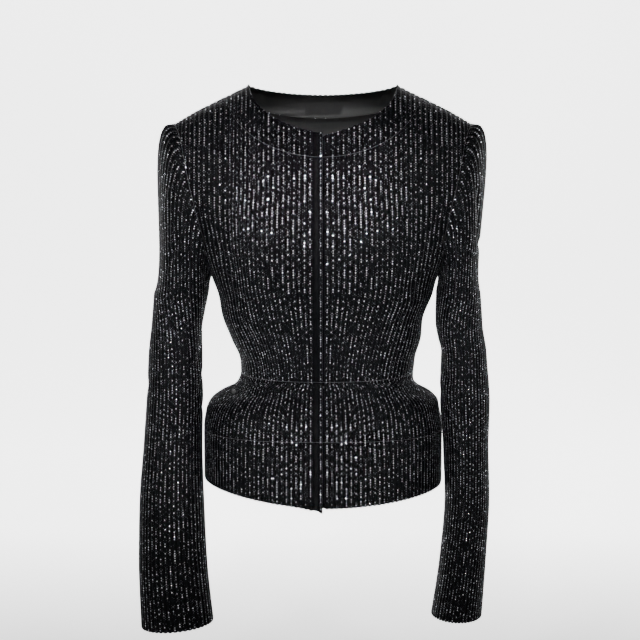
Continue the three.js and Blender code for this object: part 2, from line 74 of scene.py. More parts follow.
PANEL_RIBS = 18
SIDE_RIBS = 12
ARMHOLE_START = 24
ARMHOLE_END = PANEL_RIBS + SIDE_RIBS
UPRIGHT_Z = -125
UNDERARM_Z = -243

# Sections of the body from top to bottom: half-width, depths in front and behind, the oval's
# exponent, lean to the left, distance to the side-front seam, and width of a rib at the centre.
BODY_COLUMNS = ("z", "half", "front", "back", "square", "shift", "seam", "pitch")
BODY = [
    (20, 208, 52, 56, 2.3, 0, 118, 6.6),
    (-49, 207, 72, 72, 2.3, 0, 118, 6.6),
    (-96, 200, 90, 84, 2.3, 0, 118, 6.6),
    (-125, 193, 98, 88, 2.3, 0, 118, 6.6),
    (-151, 184, 105, 90, 2.3, 0, 119, 6.8),
    (-185, 170, 111, 90, 2.3, 1, 119, 6.9),
    (-215, 156, 113, 88, 2.3, 2, 118, 6.9),
    (-243, 142, 112, 86, 2.25, 2, 117, 6.8),
    (-262, 136, 109, 84, 2.2, 3, 117, 6.4),
    (-290, 128, 105, 82, 2.2, 0, 110, 5.6),
    (-320, 121.5, 98, 80, 2.2, 4, 96, 4.8),
    (-349, 111.5, 92, 78, 2.2, 6, 87, 4.3),
    (-366, 110, 90, 78, 2.2, 5, 85, 4.2),
    (-374, 112, 93, 80, 2.2, 4, 118, 5.2),
    (-381, 118, 97, 84, 2.2, 4, 118, 5.3),
    (-390, 135, 102, 92, 2.3, 3, 118, 5.5),
    (-400, 145.5, 106, 99, 2.4, 1.5, 118, 5.7),
    (-411, 149, 110, 104, 2.5, 0, 118, 5.8),
    (-434, 152, 114, 108, 2.5, 0, 118, 5.9),
    (-480, 152, 116, 110, 2.4, 0, 118, 6.0),
    (-530, 151, 116, 110, 2.4, 0, 118, 6.0),
]
BUST = {"x": 80, "z": -205, "out": 10, "width": 46, "height": 54}

# Curved seams and the armhole, by the rib that they cross.
SIDE_FRONT_TOP = [(18, -232), (20, -228), (22, -216), (24, -190)]
SEAM_LEVEL = SIDE_FRONT_TOP[0][1] + SEAM_GAP / 2
UNDERARM = [(24, -190), (25.5, -214), (27, -230), (28.5, -240), (30, -243)]
ARMHOLE = {
    "front": [(24, -190), (24.5, -163), (25, -141), (26, -112), (27, -88), (28, -66), (29, -55),
              (30, -49)],
    "back": [(24, -190), (24.5, -170), (25, -151), (26, -121), (27, -96), (28, -74), (29, -58),
             (30, -49)],
}

# Across one rib, from valley to valley: share of a rib and height of its round top.
RIB_SHAPE = [(0.0, 0.0), (0.22, 0.72), (0.5, 1.0), (0.78, 0.72)]

# A column of points that runs up a piece: the face it is on, where its ribs are counted from, its
# rib, its height on the rib, how deep it is sunk and its place among the stitches.
Column = namedtuple("Column", "face start rib high sunk place")

# Front edges: distance from the centre line, height on the rib, depth below the upper front and
# place on the last rib, which runs from -1 to 0. The rest of the edge is plain.
RIGHT_EDGE = [
    (0.4, 0, 0, -1),
    (1.2, 0.75, 0, -0.84),
    (2.9, 1, 0, -0.5),
    (4.6, 0.75, 0, -0.16),
    (5.4, 0, 0, 0),
    (6.4, 0, 0.5, 0),
    (11.4, 0, 0.5, 0),
]
LEFT_EDGE = [(-9, 0, 2.2, 0), (-4, 0, 2.2, 0), (0.5, 0, 2.2, 0), (1.2, 0, 1.2, 0)]
FIRST_RIB = {"right": 12.5, "left": 1.9}
EDGES = {"right": RIGHT_EDGE, "left": LEFT_EDGE}
SIDES = {"right": -1, "left": 1}


def curve(xs, ys, values):
    """Values on a smooth curve through the points, which never overshoots them."""
    order = np.argsort(xs)
    xs, ys = np.asarray(xs, float)[order], np.asarray(ys, float)[order]
    values = np.clip(values, xs[0], xs[-1])
    slope = np.diff(ys) / np.diff(xs)
    inner = np.zeros(len(xs) - 2)
    same = slope[:-1] * slope[1:] > 0
    inner[same] = 2 * (slope[:-1] * slope[1:])[same] / (slope[:-1] + slope[1:])[same]
    tangent = np.concatenate([[slope[0]], inner, [slope[-1]]])
    i = np.clip(np.searchsorted(xs, values) - 1, 0, len(xs) - 2)
    step = xs[i + 1] - xs[i]
    t = (values - xs[i]) / step
    rise, m, n = ys[i + 1] - ys[i], tangent[i] * step, tangent[i + 1] * step
    return ys[i] + t * (m + t * (3 * rise - 2 * m - n + t * (m + n - 2 * rise)))


def seam_z(table, rib):
    return curve([row[0] for row in table], [row[1] for row in table], rib)


def body(z, column):
    k = BODY_COLUMNS.index(column)
    return curve([row[0] for row in BODY], [row[k] for row in BODY], z)


def shoulder_z(x):
    t = (np.abs(x) - NECK_SIDE_X) / (SHOULDER_TIP[0] - NECK_SIDE_X)
    return SHOULDER_TIP[1] * t + SHOULDER_BOW * np.maximum(0, t) ** 2 * (1 - t)


def bell_z(shape, deep, x):
    share = np.minimum(1, np.abs(x) / shape["half"])
    return np.minimum(shoulder_z(x), -deep * (1 - share ** shape["bend"]) ** (1 / shape["bend"]))


def quarters(z, face):
    """The quarter sections at many heights: points from the centre to the side, and distances."""
    angle = np.linspace(0, math.pi / 2, QUARTER_POINTS)[None, :]
    power = 2 / body(z, "square")[:, None]
    x = body(z, "half")[:, None] * np.sin(angle) ** power
    y = body(z, face)[:, None] * np.maximum(np.cos(angle), 0) ** power
    y[:, -1] = 0
    steps = np.hypot(np.diff(x), np.diff(y))
    return x, y, np.concatenate([np.zeros((len(x), 1)), np.cumsum(steps, 1)], 1)


def body_point(face, along, z):
    """Points of the body's outer face, by the distance round it from the centre line and height."""
    qx, qy, qs = quarters(np.minimum(z, UPRIGHT_Z), face)
    s = np.abs(along)
    i = np.clip((qs < s[:, None]).sum(1) - 1, 0, QUARTER_POINTS - 2)
    rows = np.arange(len(s))
    t = np.clip((s - qs[rows, i]) / (qs[rows, i + 1] - qs[rows, i]), 0, 1)
    x = qx[rows, i] * (1 - t) + qx[rows, i + 1] * t
    y = qy[rows, i] * (1 - t) + qy[rows, i + 1] * t
    square = body(z, "square")
    full = body(z, face) * (1 - np.minimum(1, x / body(z, "half")) ** square) ** (1 / square)
    turn = 1 - np.clip((shoulder_z(x) - z) / SHOULDER_ROLL[face], 0, 1)
    upper = np.maximum(full * np.sqrt(1 - turn * turn), SEAM_GAP / 2)
    y = np.where(z > UPRIGHT_Z, upper, y * np.sqrt(1 - turn * turn))
    if face == "front":
        across, height = (x - BUST["x"]) / BUST["width"], (z - BUST["z"]) / BUST["height"]
        y = y + BUST["out"] * np.exp(-across * across - height * height)
    return np.stack([np.where(along < 0, -x, x), -y if face == "front" else y, z], 1)


def leaning(x, z):
    """How far a place x outwards from the centre line lies to the wearer's left."""
    return body(z, "shift") * np.minimum(1, np.abs(x) / body(z, "half")) ** 2


def unit(vectors):
    return vectors / np.maximum(np.linalg.norm(vectors, axis=1), 1e-9)[:, None]


def body_normal(face, along, z, step=0.6):
    across = body_point(face, along + step, z) - body_point(face, along - step, z)
    up = body_point(face, along, z + step) - body_point(face, along, z - step)
    return unit(np.cross(across, up)) * (1 if face == "front" else -1)


def side_length(z, face):
    return quarters(z, face)[2][:, -1]


def bodice_along(face, start, rib, z):
    ribs, level = np.abs(rib), np.minimum(z, UPRIGHT_Z)
    seam, pitch = body(level, "seam"), body(level, "pitch")
    spare = seam - start - PANEL_RIBS * pitch
    near = start + ribs * pitch + spare * np.clip(ribs / PANEL_RIBS, 0, 1) ** 3
    low = np.minimum(level, UNDERARM_Z)
    far = seam + (ribs - PANEL_RIBS) * (side_length(low, face) - body(low, "seam")) / SIDE_RIBS
    along = np.where(ribs > PANEL_RIBS, far, near)
    return np.where(rib < 0, -along, along)


def zipped(a, key_a, b, key_b):
    """Triangles of the strip between two lines of points that run the same way."""
    faces, i, j = [], 0, 0
    while i < len(a) - 1 or j < len(b) - 1:
        if j == len(b) - 1 or (i < len(a) - 1 and key_a[i + 1] <= key_b[j + 1]):
            faces.append((a[i], b[j], a[i + 1]))
            i += 1
        else:
            faces.append((a[i], b[j], b[j + 1]))
            j += 1
    return faces


def make_cloth(name, points, faces, stitch_uv, inside_from):
    """A shell as an object: points in millimetres, the stitches' own coordinates as its UV map."""
    mesh = bpy.data.meshes.new(name)
    faces = np.asarray(faces, np.int32)
    mesh.vertices.add(len(points))
    mesh.vertices.foreach_set("co", (points * MM).astype(np.float32).ravel())
    mesh.loops.add(3 * len(faces))
    mesh.loops.foreach_set("vertex_index", faces.ravel())
    mesh.polygons.add(len(faces))
    mesh.polygons.foreach_set("loop_start", np.arange(0, 3 * len(faces), 3, dtype=np.int32))
    mesh.polygons.foreach_set("use_smooth", np.ones(len(faces), bool))
    mesh.polygons.foreach_set("material_index", (faces.min(1) >= inside_from).astype(np.int32))
    mesh.update(calc_edges=True)
    layer = mesh.uv_layers.new(name="stitches")
    layer.data.foreach_set("uv", stitch_uv[faces.ravel()].astype(np.float32).ravel())
    mesh.validate()
    piece = bpy.data.objects.new(name, mesh)
    bpy.context.collection.objects.link(piece)
    return piece


def rib_columns(first, last):
    """Ribs and heights of the columns of points from one whole or half rib to another."""
    ribs = range(math.floor(first), math.ceil(last))
    places = [(rib + share, high) for rib in ribs for share, high in RIB_SHAPE]
    if last == int(last):
        places.append((last, 0.0))
    return [(place, high) for place, high in places if first <= place <= last]


def panel_columns(face, first, last, start=0.0, edge=()):
    """Columns of a panel: those of its front edge, where it has one, and those of its ribs."""
    plain = [Column(face, s, 0.0, high, sunk, place) for s, high, sunk, place in edge]
    return plain + [Column(face, start, rib, high, 0.0, rib) for rib, high in rib_columns(first, last)]


def end_rounding(kind, high, gap):
    """How far a rib's end sinks near a free edge or a seam, by the distance from it."""
    near = np.clip(1 - gap / END_REACH[kind], 0, 1)
    if kind == "free":
        return END_SINK[kind] * high * (1 - np.sqrt(1 - near * near))
    return END_SINK[kind] * high * near * near


def wall_faces(outer, inner, kept, keys, cut):
    """Triangles of a closed wall: the outer face, the plain inner one and the edges. outer and inner
    are lists of point numbers for each column, kept the columns that go inside, and cut says which
    columns have only the part above the side panel: the columns next to them end at the seam."""
    inner = dict(zip(kept, inner))
    last = len(outer) - 1
    seams = [i for i in range(1, last) if not cut[i] and (cut[i - 1] or cut[i + 1])]
    faces, turned = [], []
    bounds = [0, *seams, last]
    for first, end in zip(bounds, bounds[1:]):
        def run(line, i):
            above = cut[first + 1] and i in seams
            return line[keys[line] >= SEAM_LEVEL - TOUCH] if above else line
        out = [(i, run(outer[i], i)) for i in range(first, end + 1)]
        back = [(i, run(inner[i], i)) for i in kept if first <= i <= end]
        for strips, lines in ((faces, out), (turned, back)):
            for (_, a), (_, b) in zip(lines, lines[1:]):
                strips += zipped(a, keys[a], b, keys[b])
        for row, strips in ((0, turned), (-1, faces)):
            numbers = [[i for i, _ in lines] for lines in (out, back)]
            points = [[line[row] for _, line in lines] for lines in (out, back)]
            strips += zipped(points[0], numbers[0], points[1], numbers[1])
    for i in seams:
        a, b = (line[keys[line] <= SEAM_LEVEL + TOUCH] for line in (outer[i], inner[i]))
        (faces if cut[i + 1] else turned).extend(zipped(a, keys[a], b, keys[b]))
    turned += zipped(outer[0], keys[outer[0]], inner[0], keys[inner[0]])
    faces += zipped(outer[last], keys[outer[last]], inner[last], keys[inner[last]])
    return np.array(faces + [(p, r, q) for p, q, r in turned])


def inner_columns(columns):
    """Columns that go on to the inside, where the cloth is plain."""
    ends = (0, len(columns) - 1)
    return [i for i, c in enumerate(columns) if i in ends or c.sunk > 0 or c.high == 0]


def beads(rib, high, stitch):
    """How far each rib sinks between its stitches, half a stitch on from its neighbour's."""
    odd = (np.rint(stitch * 2).astype(int) + np.floor(rib).astype(int)) % 2
    return STITCH_DEPTH * odd * high


def body_shell(name, side, columns, along_at, low, high, nudge=(0, 0)):
    """A panel of the body as a cloth shell. low and high give each column's ends as a height and
    whether that is a seam, a free edge or the ridge of the shoulder."""
    faces_of = np.array([c.face for c in columns])
    start, rib, raised, sunk, place = np.array([c[1:] for c in columns], float).T
    nudges = np.zeros(len(columns))
    nudges[0], nudges[-1] = nudge
    bottoms, tops = [low(c) for c in columns], [high(c) for c in columns]
    room = {"seam": SEAM_GAP / 2, "ridge": 0.0}
    lows = np.array([z + room.get(kind, -SCALLOP * h) for (z, kind), h in zip(bottoms, raised)])
    highs = np.array([z - room.get(kind, -SCALLOP * h) for (z, kind), h in zip(tops, raised)])
    on_ridge = np.array([kind == "ridge" for _, kind in tops])
    cut = lows > SEAM_LEVEL - 1
    if cut.all() or highs.max() < SEAM_LEVEL:
        cut[:] = False
    beside = np.convolve(cut, (1, 0, 1), "same") > 0

    def frames(k, z):
        point, normal = np.zeros((len(k), 3)), np.zeros((len(k), 3))
        for face in ("front", "back"):
            here = faces_of[k] == face
            if here.any():
                along = along_at(face, start[k[here]], rib[k[here]], z[here]) + nudges[k[here]]
                point[here] = body_point(face, along, z[here])
                normal[here] = body_normal(face, along, z[here])
        normal[on_ridge[k] & (z == highs[k]), 1] = 0
        normal = unit(normal)
        point = point + normal * creases(name, point)[:, None]
        point[:, 0] = side * point[:, 0] + leaning(point[:, 0], z)
        normal[:, 0] *= side
        return point, normal

    def lines(indices, pitch):
        runs = []
        for i in indices:
            grid = np.arange(math.ceil(lows[i] / pitch), math.floor(highs[i] / pitch) + 1) * pitch
            grid = grid[(grid > lows[i] + END_ROOM * pitch) & (grid < highs[i] - END_ROOM * pitch)]
            if beside[i] and not cut[i]:
                clear = abs(grid - SEAM_LEVEL) > SEAM_ROOM * pitch
                grid = np.sort(np.append(grid[clear], SEAM_LEVEL))
            runs.append(np.concatenate([[lows[i]], grid, [highs[i]]]))
        ends = np.cumsum([0] + [len(run) for run in runs])
        k = np.repeat(indices, [len(run) for run in runs])
        return k, np.concatenate(runs), [np.arange(a, b) for a, b in zip(ends, ends[1:])]

    kept = inner_columns(columns)
    k, z, outer = lines(range(len(columns)), STITCH / 2)
    point, normal = frames(k, z)
    dip = RELIEF * (1 - raised[k]) + sunk[k] + beads(place[k], raised[k], z / STITCH)
    for kind in ("seam", "free"):
        at_low = np.array([b[1] == kind for b in bottoms])[k]
        at_high = np.array([t[1] == kind for t in tops])[k]
        dip += at_low * end_rounding(kind, raised[k], z - lows[k])
        dip += at_high * end_rounding(kind, raised[k], highs[k] - z)
    face_points = point - normal * dip[:, None]
    ki, zi, inner = lines(kept, INSIDE_PITCH["body"])
    point, normal = frames(ki, zi)
    back_points = point - normal * (WALL + sunk[ki])[:, None]
    inner = [run + len(face_points) for run in inner]
    faces = wall_faces(outer, inner, kept, np.concatenate([z, zi]), cut)
    uv = np.concatenate([np.stack([place[k], z / STITCH], 1), np.stack([place[ki], zi / STITCH], 1)])
    points = np.concatenate([face_points, back_points])
    return make_cloth(name, points, faces[:, ::-1] if side < 0 else faces, uv, len(face_points))


def column_x(column, along_at, level):
    """Where a column stands at a level, outwards from the middle."""
    z = np.array([float(level)])
    along = along_at(column.face, column.start, np.array([column.rib]), z)
    return float(body_point(column.face, along, z)[0, 0])


def seam_top(column):
    x = column_x(column, bodice_along, UPRIGHT_Z)
    z = float(bell_z(BAND_SEAM, BAND_SEAM[column.face], x))
    return z, "ridge" if z == shoulder_z(x) else "seam"


def panel_low(column):
    rib = abs(column.rib)
    if rib <= PANEL_RIBS:
        return WAIST_Z, "seam"
    table = SIDE_FRONT_TOP if rib < ARMHOLE_START else ARMHOLE[column.face]
    return float(seam_z(table, rib)), "seam"


# Soft creases of the worn body, each a line from one place to another: x outwards and z of both
# ends, half-width and depth. A negative depth is a soft ridge. On the back x is to the left.
# A crease is full over the middle of its line and fades at both ends, as shares of its length.
CREASE_FULL = 0.3
CREASE_FADE = 0.22
BODY_CREASES = {
    "front_right_cloth": [
        (150, -166, 106, -232, 8, 2.2),
        (146, -206, 112, -262, 6, 1.6),
        (100, -286, 72, -338, 8, 1.5),
        (118, -262, 86, -300, 7, -1.3),
        (60, -300, 30, -352, 10, 0.7),
    ],
    "front_left_cloth": [
        (152, -150, 118, -222, 8, 2.0),
        (146, -196, 108, -250, 6, 1.8),
        (98, -276, 66, -330, 9, 1.4),
        (52, -306, 26, -350, 9, 0.7),
    ],
    "side_right_cloth": [(136, -300, 112, -345, 8, 1.2)],
    "side_left_cloth": [(138, -290, 112, -350, 8, 1.3)],
    "back_cloth": [
        (120, -210, 60, -260, 12, 2.0),
        (-128, -196, -70, -250, 10, 1.8),
        (80, -318, 20, -338, 8, 1.6),
        (-84, -310, -30, -334, 9, 1.4),
        (30, -345, -40, -350, 7, 1.2),
    ],
    "peplum_right_cloth": [
        (112, -378, 141, -417, 7, 1.8),
        (14, -392, 8, -436, 6, 1.3),
        (84, -376, 92, -420, 10, 1.0),
    ],
    "peplum_left_cloth": [(128, -380, 148, -426, 8, 1.4), (60, -380, 70, -430, 11, 1.0)],
    "peplum_back_cloth": [
        (90, -380, 110, -430, 11, 1.6),
        (-96, -378, -112, -430, 9, 1.4),
        (10, -378, 4, -430, 12, 1.2),
    ],
}


def crease_lift(across, z, table):
    """How far the soft creases of a table lift or sink the cloth at each place."""
    lift = np.zeros(len(z))
    for x0, z0, x1, z1, half_width, depth in table:
        dx, dz = x1 - x0, z1 - z0
        t = ((across - x0) * dx + (z - z0) * dz) / (dx * dx + dz * dz)
        off = ((across - x0) * dz - (z - z0) * dx) / math.hypot(dx, dz)
        past = np.maximum(0, np.abs(t - 0.5) - CREASE_FULL)
        fade = np.exp(-((past / CREASE_FADE) ** 2))
        lift -= depth * fade * np.exp(-((off / half_width) ** 2))
    return lift


def creases(name, point):
    return crease_lift(point[:, 0], point[:, 2], BODY_CREASES.get(name, ()))


def dress(piece, node, flat, area):
    """Puts a finished piece of leather in the place of its solid."""
    piece.data.materials.append(leather)
    piece.data.materials.append(leather_inside)
    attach(piece, "root")
    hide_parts(node)


def stitch_chain_group():
    """Node group: the small round stitches that cover every rib in rows, one along its crest and one on
    each side, each stitch turned and polished a little differently. Their gloss fades from the crest to
    nothing in the grooves between the ribs, which is painted shade there."""
    group = bpy.data.node_groups.new("stitch_chain", "ShaderNodeTree")
    group.interface.new_socket("Stitches", in_out="INPUT", socket_type="NodeSocketVector")
    group.interface.new_socket("Turn", in_out="INPUT", socket_type="NodeSocketFloat")
    for name in ("Height", "Shine_and_groove_shade", "Polish"):
        group.interface.new_socket(name, in_out="OUTPUT", socket_type="NodeSocketFloat")
    nodes, links = group.nodes, group.links

    def worked(operation, *values):
        node = nodes.new("ShaderNodeMath")
        node.operation = operation
        for socket, value in zip(node.inputs, values):
            if isinstance(value, (int, float)):
                socket.default_value = value
            else:
                links.new(value, socket)
        return node.outputs[0]

    entry, leave = nodes.new("NodeGroupInput"), nodes.new("NodeGroupOutput")
    split = nodes.new("ShaderNodeSeparateXYZ")
    links.new(entry.outputs["Stitches"], split.inputs[0])
    row = worked("MULTIPLY", split.outputs["X"], ROWS_OF_STITCHES)
    row_number = worked("FLOOR", row)
    half_on = worked("MULTIPLY", row_number, 0.5)
    along = worked("ADD", split.outputs["Y"], half_on)
    across_bead = worked("SUBTRACT", worked("FRACT", row), 0.5)
    along_bead = worked("SUBTRACT", worked("FRACT", along), 0.5)
    cell = nodes.new("ShaderNodeCombineXYZ")
    links.new(row_number, cell.inputs["X"])
    links.new(worked("FLOOR", along), cell.inputs["Y"])
    chance = nodes.new("ShaderNodeTexWhiteNoise")
    chance.noise_dimensions = "2D"
    links.new(cell.outputs[0], chance.inputs["Vector"])
    chances = nodes.new("ShaderNodeSeparateColor")
    links.new(chance.outputs["Color"], chances.inputs[0])
    across_square = worked("MULTIPLY", across_bead, across_bead)
    along_square = worked("MULTIPLY", along_bead, along_bead)
    squares = worked("ADD", across_square, along_square)
    dome = worked("MAXIMUM", worked("SUBTRACT", 1.0, worked("MULTIPLY", squares, 4.0)), 0.0)
    tilt_across = worked("MULTIPLY", across_bead, worked("SUBTRACT", chances.outputs["Red"], 0.5))
    tilt_along = worked("MULTIPLY", along_bead, worked("SUBTRACT", chances.outputs["Green"], 0.5))
    tilt = worked("MULTIPLY", worked("ADD", tilt_across, tilt_along), entry.outputs["Turn"])
    links.new(worked("ADD", dome, worked("MULTIPLY", tilt, dome)), leave.inputs["Height"])
    # Painted shade: the gloss is weighted down from the rib's crest to nothing in the grooves between
    # the ribs.
    from_crest = worked("ABSOLUTE", worked("SUBTRACT", worked("FRACT", split.outputs["X"]), 0.5))
    crest = worked("SUBTRACT", 1.0, worked("MULTIPLY", worked("MULTIPLY", from_crest, from_crest), 4.0))
    links.new(worked("MULTIPLY", crest, dome), leave.inputs["Shine_and_groove_shade"])
    links.new(chances.outputs["Blue"], leave.inputs["Polish"])
    return group


def noise(nodes, links, coordinates, scale, detail):
    """A noise texture on the object's own coordinates."""
    node = nodes.new("ShaderNodeTexNoise")
    node.inputs["Scale"].default_value = scale
    node.inputs["Detail"].default_value = detail
    links.new(coordinates.outputs["Object"], node.inputs["Vector"])
    return node.outputs["Fac"]


def bump(nodes, links, height, distance, strength):
    node = nodes.new("ShaderNodeBump")
    node.inputs["Distance"].default_value = distance
    node.inputs["Strength"].default_value = strength
    links.new(height, node.inputs["Height"])
    return node.outputs["Normal"]


def mapped(nodes, links, value, low, high, to_low, to_high):
    """A value taken from one range to another."""
    node = nodes.new("ShaderNodeMapRange")
    for name, number in (("From Min", low), ("From Max", high), ("To Min", to_low), ("To Max", to_high)):
        node.inputs[name].default_value = number
    links.new(value, node.inputs["Value"])
    return node.outputs["Result"]


# The stitches' look: colour between them and on their polished tops, how much they are turned, how high
# they stand in metres and how sharply the gloss gathers; the gloss is cut to nothing towards the grooves
# between the ribs, a painted shade there. A range is two values and the two that they turn into.
DARK_LEATHER = (0.0006, 0.0006, 0.0009, 1)
POLISHED_LEATHER = (0.6, 0.61, 0.66, 1)
STITCH_TURN = 2.4
STITCH_HEIGHT = 0.00022
SHINE_POWER = 3.0
SHINE_RANGE = (0.35, 0.85, 0, 1)
POLISH_RANGE = (0.25, 1.0, 0.15, 1)
ROUGHNESS_RANGE = (0, 0.3, 0.5, 0.12)


def stitched_leather():
    """The right side: black leather covered with rows of small shiny stitches."""
    material = bpy.data.materials.new("glossy_ribbed_leather")
    material.use_nodes = True
    nodes, links = material.node_tree.nodes, material.node_tree.links
    shader = nodes["Principled BSDF"]
    shader.inputs["Specular IOR Level"].default_value = 0.02
    own = nodes.new("ShaderNodeUVMap")
    own.uv_map = "stitches"
    chain = nodes.new("ShaderNodeGroup")
    chain.node_tree = stitch_chain
    chain.inputs["Turn"].default_value = STITCH_TURN
    links.new(own.outputs["UV"], chain.inputs["Stitches"])
    # The stitches' gloss, with the painted shade of the grooves between the ribs in it, drives colour,
    # metal and roughness.
    both = nodes.new("ShaderNodeMath")
    both.operation = "MULTIPLY"
    links.new(mapped(nodes, links, chain.outputs["Shine_and_groove_shade"], *SHINE_RANGE), both.inputs[0])
    links.new(mapped(nodes, links, chain.outputs["Polish"], *POLISH_RANGE), both.inputs[1])
    shine_and_groove_shade = nodes.new("ShaderNodeMath")
    shine_and_groove_shade.operation = "POWER"
    shine_and_groove_shade.inputs[1].default_value = SHINE_POWER
    links.new(both.outputs[0], shine_and_groove_shade.inputs[0])
    colour = nodes.new("ShaderNodeMix")
    colour.data_type = "RGBA"
    colour.inputs["A"].default_value = DARK_LEATHER
    colour.inputs["B"].default_value = POLISHED_LEATHER
    links.new(shine_and_groove_shade.outputs[0], colour.inputs["Factor"])
    links.new(colour.outputs["Result"], shader.inputs["Base Color"])
    links.new(shine_and_groove_shade.outputs[0], shader.inputs["Metallic"])
    links.new(mapped(nodes, links, shine_and_groove_shade.outputs[0], *ROUGHNESS_RANGE), shader.inputs["Roughness"])
    surface = bump(nodes, links, chain.outputs["Height"], STITCH_HEIGHT, 1.0)
    links.new(surface, shader.inputs["Normal"])
    return material


def wrong_side_leather():
    """The wrong side: the same leather, matt and lightly grained."""
    material = bpy.data.materials.new("leather_wrong_side")
    material.use_nodes = True
    nodes, links = material.node_tree.nodes, material.node_tree.links
    shader = nodes["Principled BSDF"]
    shader.inputs["Base Color"].default_value = (0.006, 0.006, 0.006, 1)
    shader.inputs["Specular IOR Level"].default_value = 0.25
    shader.inputs["Roughness"].default_value = 0.65
    coordinates = nodes.new("ShaderNodeTexCoord")
    grain = noise(nodes, links, coordinates, 900, 3)
    links.new(bump(nodes, links, grain, 0.0004, 0.35), shader.inputs["Normal"])
    return material


stitch_chain = stitch_chain_group()
leather = stitched_leather()
leather_inside = wrong_side_leather()

for part, side in SIDES.items():
    columns = panel_columns("front", 0, ARMHOLE_END - 0.5, FIRST_RIB[part], EDGES[part])
    front = body_shell(f"front_{part}_cloth", side, columns, bodice_along, panel_low, seam_top)
    dress(front, f"front_{part}", (0.19, 0.36), 0.052)

# The side panels.
# One panel under each arm, of the same ribbed leather, sewn to the front and the back along the
# side-front and side-back seams and to the sleeve along the underarm.


def waist(column):
    return WAIST_Z, "seam"


def side_top(column):
    table = SIDE_FRONT_TOP if column.rib < ARMHOLE_START else UNDERARM
    return float(seam_z(table, column.rib)), "seam"


for part, side in SIDES.items():
    columns = panel_columns("front", PANEL_RIBS, ARMHOLE_END, FIRST_RIB[part])
    behind = panel_columns("back", PANEL_RIBS, ARMHOLE_END)[:-1]
    columns += behind[::-1]
    ends = (SEAM_GAP, SEAM_GAP)
    panel = body_shell(f"side_{part}_cloth", side, columns, bodice_along, waist, side_top, ends)
    dress(panel, f"side_{part}", (0.156, 0.183), 0.023)

# The back of the bodice.
# One panel of ribbed leather across the back, cut like the fronts but with no opening, sewn to the
# side panels, the neckband, the sleeves and the waist seam.
columns = panel_columns("back", 0.5 - ARMHOLE_END, ARMHOLE_END - 0.5)
back = body_shell("back_cloth", 1, columns[::-1], bodice_along, panel_low, seam_top)
dress(back, "back", (0.381, 0.381), 0.103)

# The neckband.
# Three shaped pieces of ribbed leather that form the yoke of the round neck, sewn below to the
# fronts and the back and ending above in a scalloped free edge.
NECKLINE = {"half": 93, "front": 55, "back": 16, "bend": 1.7}
LAP_STEP = {"neck": 4, "hem": 5.5, "fade": 45}
NECKBAND_RIBS = 18.5


def lap_fade(x):
    return max(0, 1 - abs(x) / LAP_STEP["fade"]) ** 2


def neckline(side):
    def top(column):
        x = column_x(column, bodice_along, UPRIGHT_Z)
        step = LAP_STEP["neck"] * lap_fade(x) if side > 0 else 0
        z = float(bell_z(NECKLINE, NECKLINE[column.face], x)) - step
        if z == shoulder_z(x):
            return z, "ridge"
        return z, "free" if z < shoulder_z(x) - 1 else "end"
    return top


def band(name, along_at, ribs, low, high, flats):
    """A right front, a left front and a back piece of one band."""
    for part, side in SIDES.items():
        columns = panel_columns("front", 0, ribs, FIRST_RIB[part], EDGES[part])
        ends = (0, -SEAM_GAP / 2)
        piece = body_shell(f"{name}_{part}_cloth", side, columns, along_at, low(side), high(side), ends)
        dress(piece, f"{name}_{part}", *flats["front"])
    columns = panel_columns("back", -ribs, ribs)[::-1]
    ends = (-SEAM_GAP / 2, SEAM_GAP / 2)
    piece = body_shell(f"{name}_back_cloth", 1, columns, along_at, low(0), high(0), ends)
    dress(piece, f"{name}_back", *flats["back"])


flats = {"front": ((0.096, 0.082), 0.0063), "back": ((0.276, 0.056), 0.0097)}
band("neckband", bodice_along, NECKBAND_RIBS, lambda side: seam_top, neckline, flats)

# The peplum.
# A flared basque of three pieces of ribbed leather, gathered in at the waist seam so that it stands
# out over the hips, and sewn below to the hem band.
PEPLUM_RIBS = 36
HIP_SEAM_Z = -434


def peplum_along(face, start, rib, z):
    ribs, pitch = np.abs(rib), body(z, "pitch")
    spare = side_length(z, face) - start - PEPLUM_RIBS * pitch
    along = start + ribs * pitch + spare * (ribs / PEPLUM_RIBS) ** 3
    return np.where(rib < 0, -along, along)


def hip_seam(column):
    return HIP_SEAM_Z, "seam"


flats = {"front": ((0.228, 0.096), 0.018), "back": ((0.428, 0.096), 0.0348)}
band("peplum", peplum_along, PEPLUM_RIBS, lambda side: hip_seam, lambda side: waist, flats)

# The hem band.
# A straight band of three pieces of the same ribbed leather below the hip seam, with its ribs
# upright and a scalloped free edge. It dips a little at the centre front.
HEM_Z = -500
HEM_DIP = {"deep": 17, "bend": 1.6}
HEM_LEAN = 3  # lower at the wearer's left side, and higher at the right


def hem(side):
    def bottom(column):
        x = column_x(column, peplum_along, HEM_Z)
        out = min(1, abs(x) / float(body(HEM_Z, "half")))
        lean = HEM_LEAN * out * np.sign(x) * (side or 1)
        if column.face == "back":
            return HEM_Z - lean, "free"
        dip = HEM_DIP["deep"] * (1 - out ** HEM_DIP["bend"])
        step = LAP_STEP["hem"] * lap_fade(x) if side < 0 else 0
        return HEM_Z - dip - lean - step, "free"
    return bottom


flats = {"front": ((0.228, 0.085), 0.0181), "back": ((0.429, 0.069), 0.029)}
band("hemband", peplum_along, PEPLUM_RIBS, hem, lambda side: hip_seam, flats)

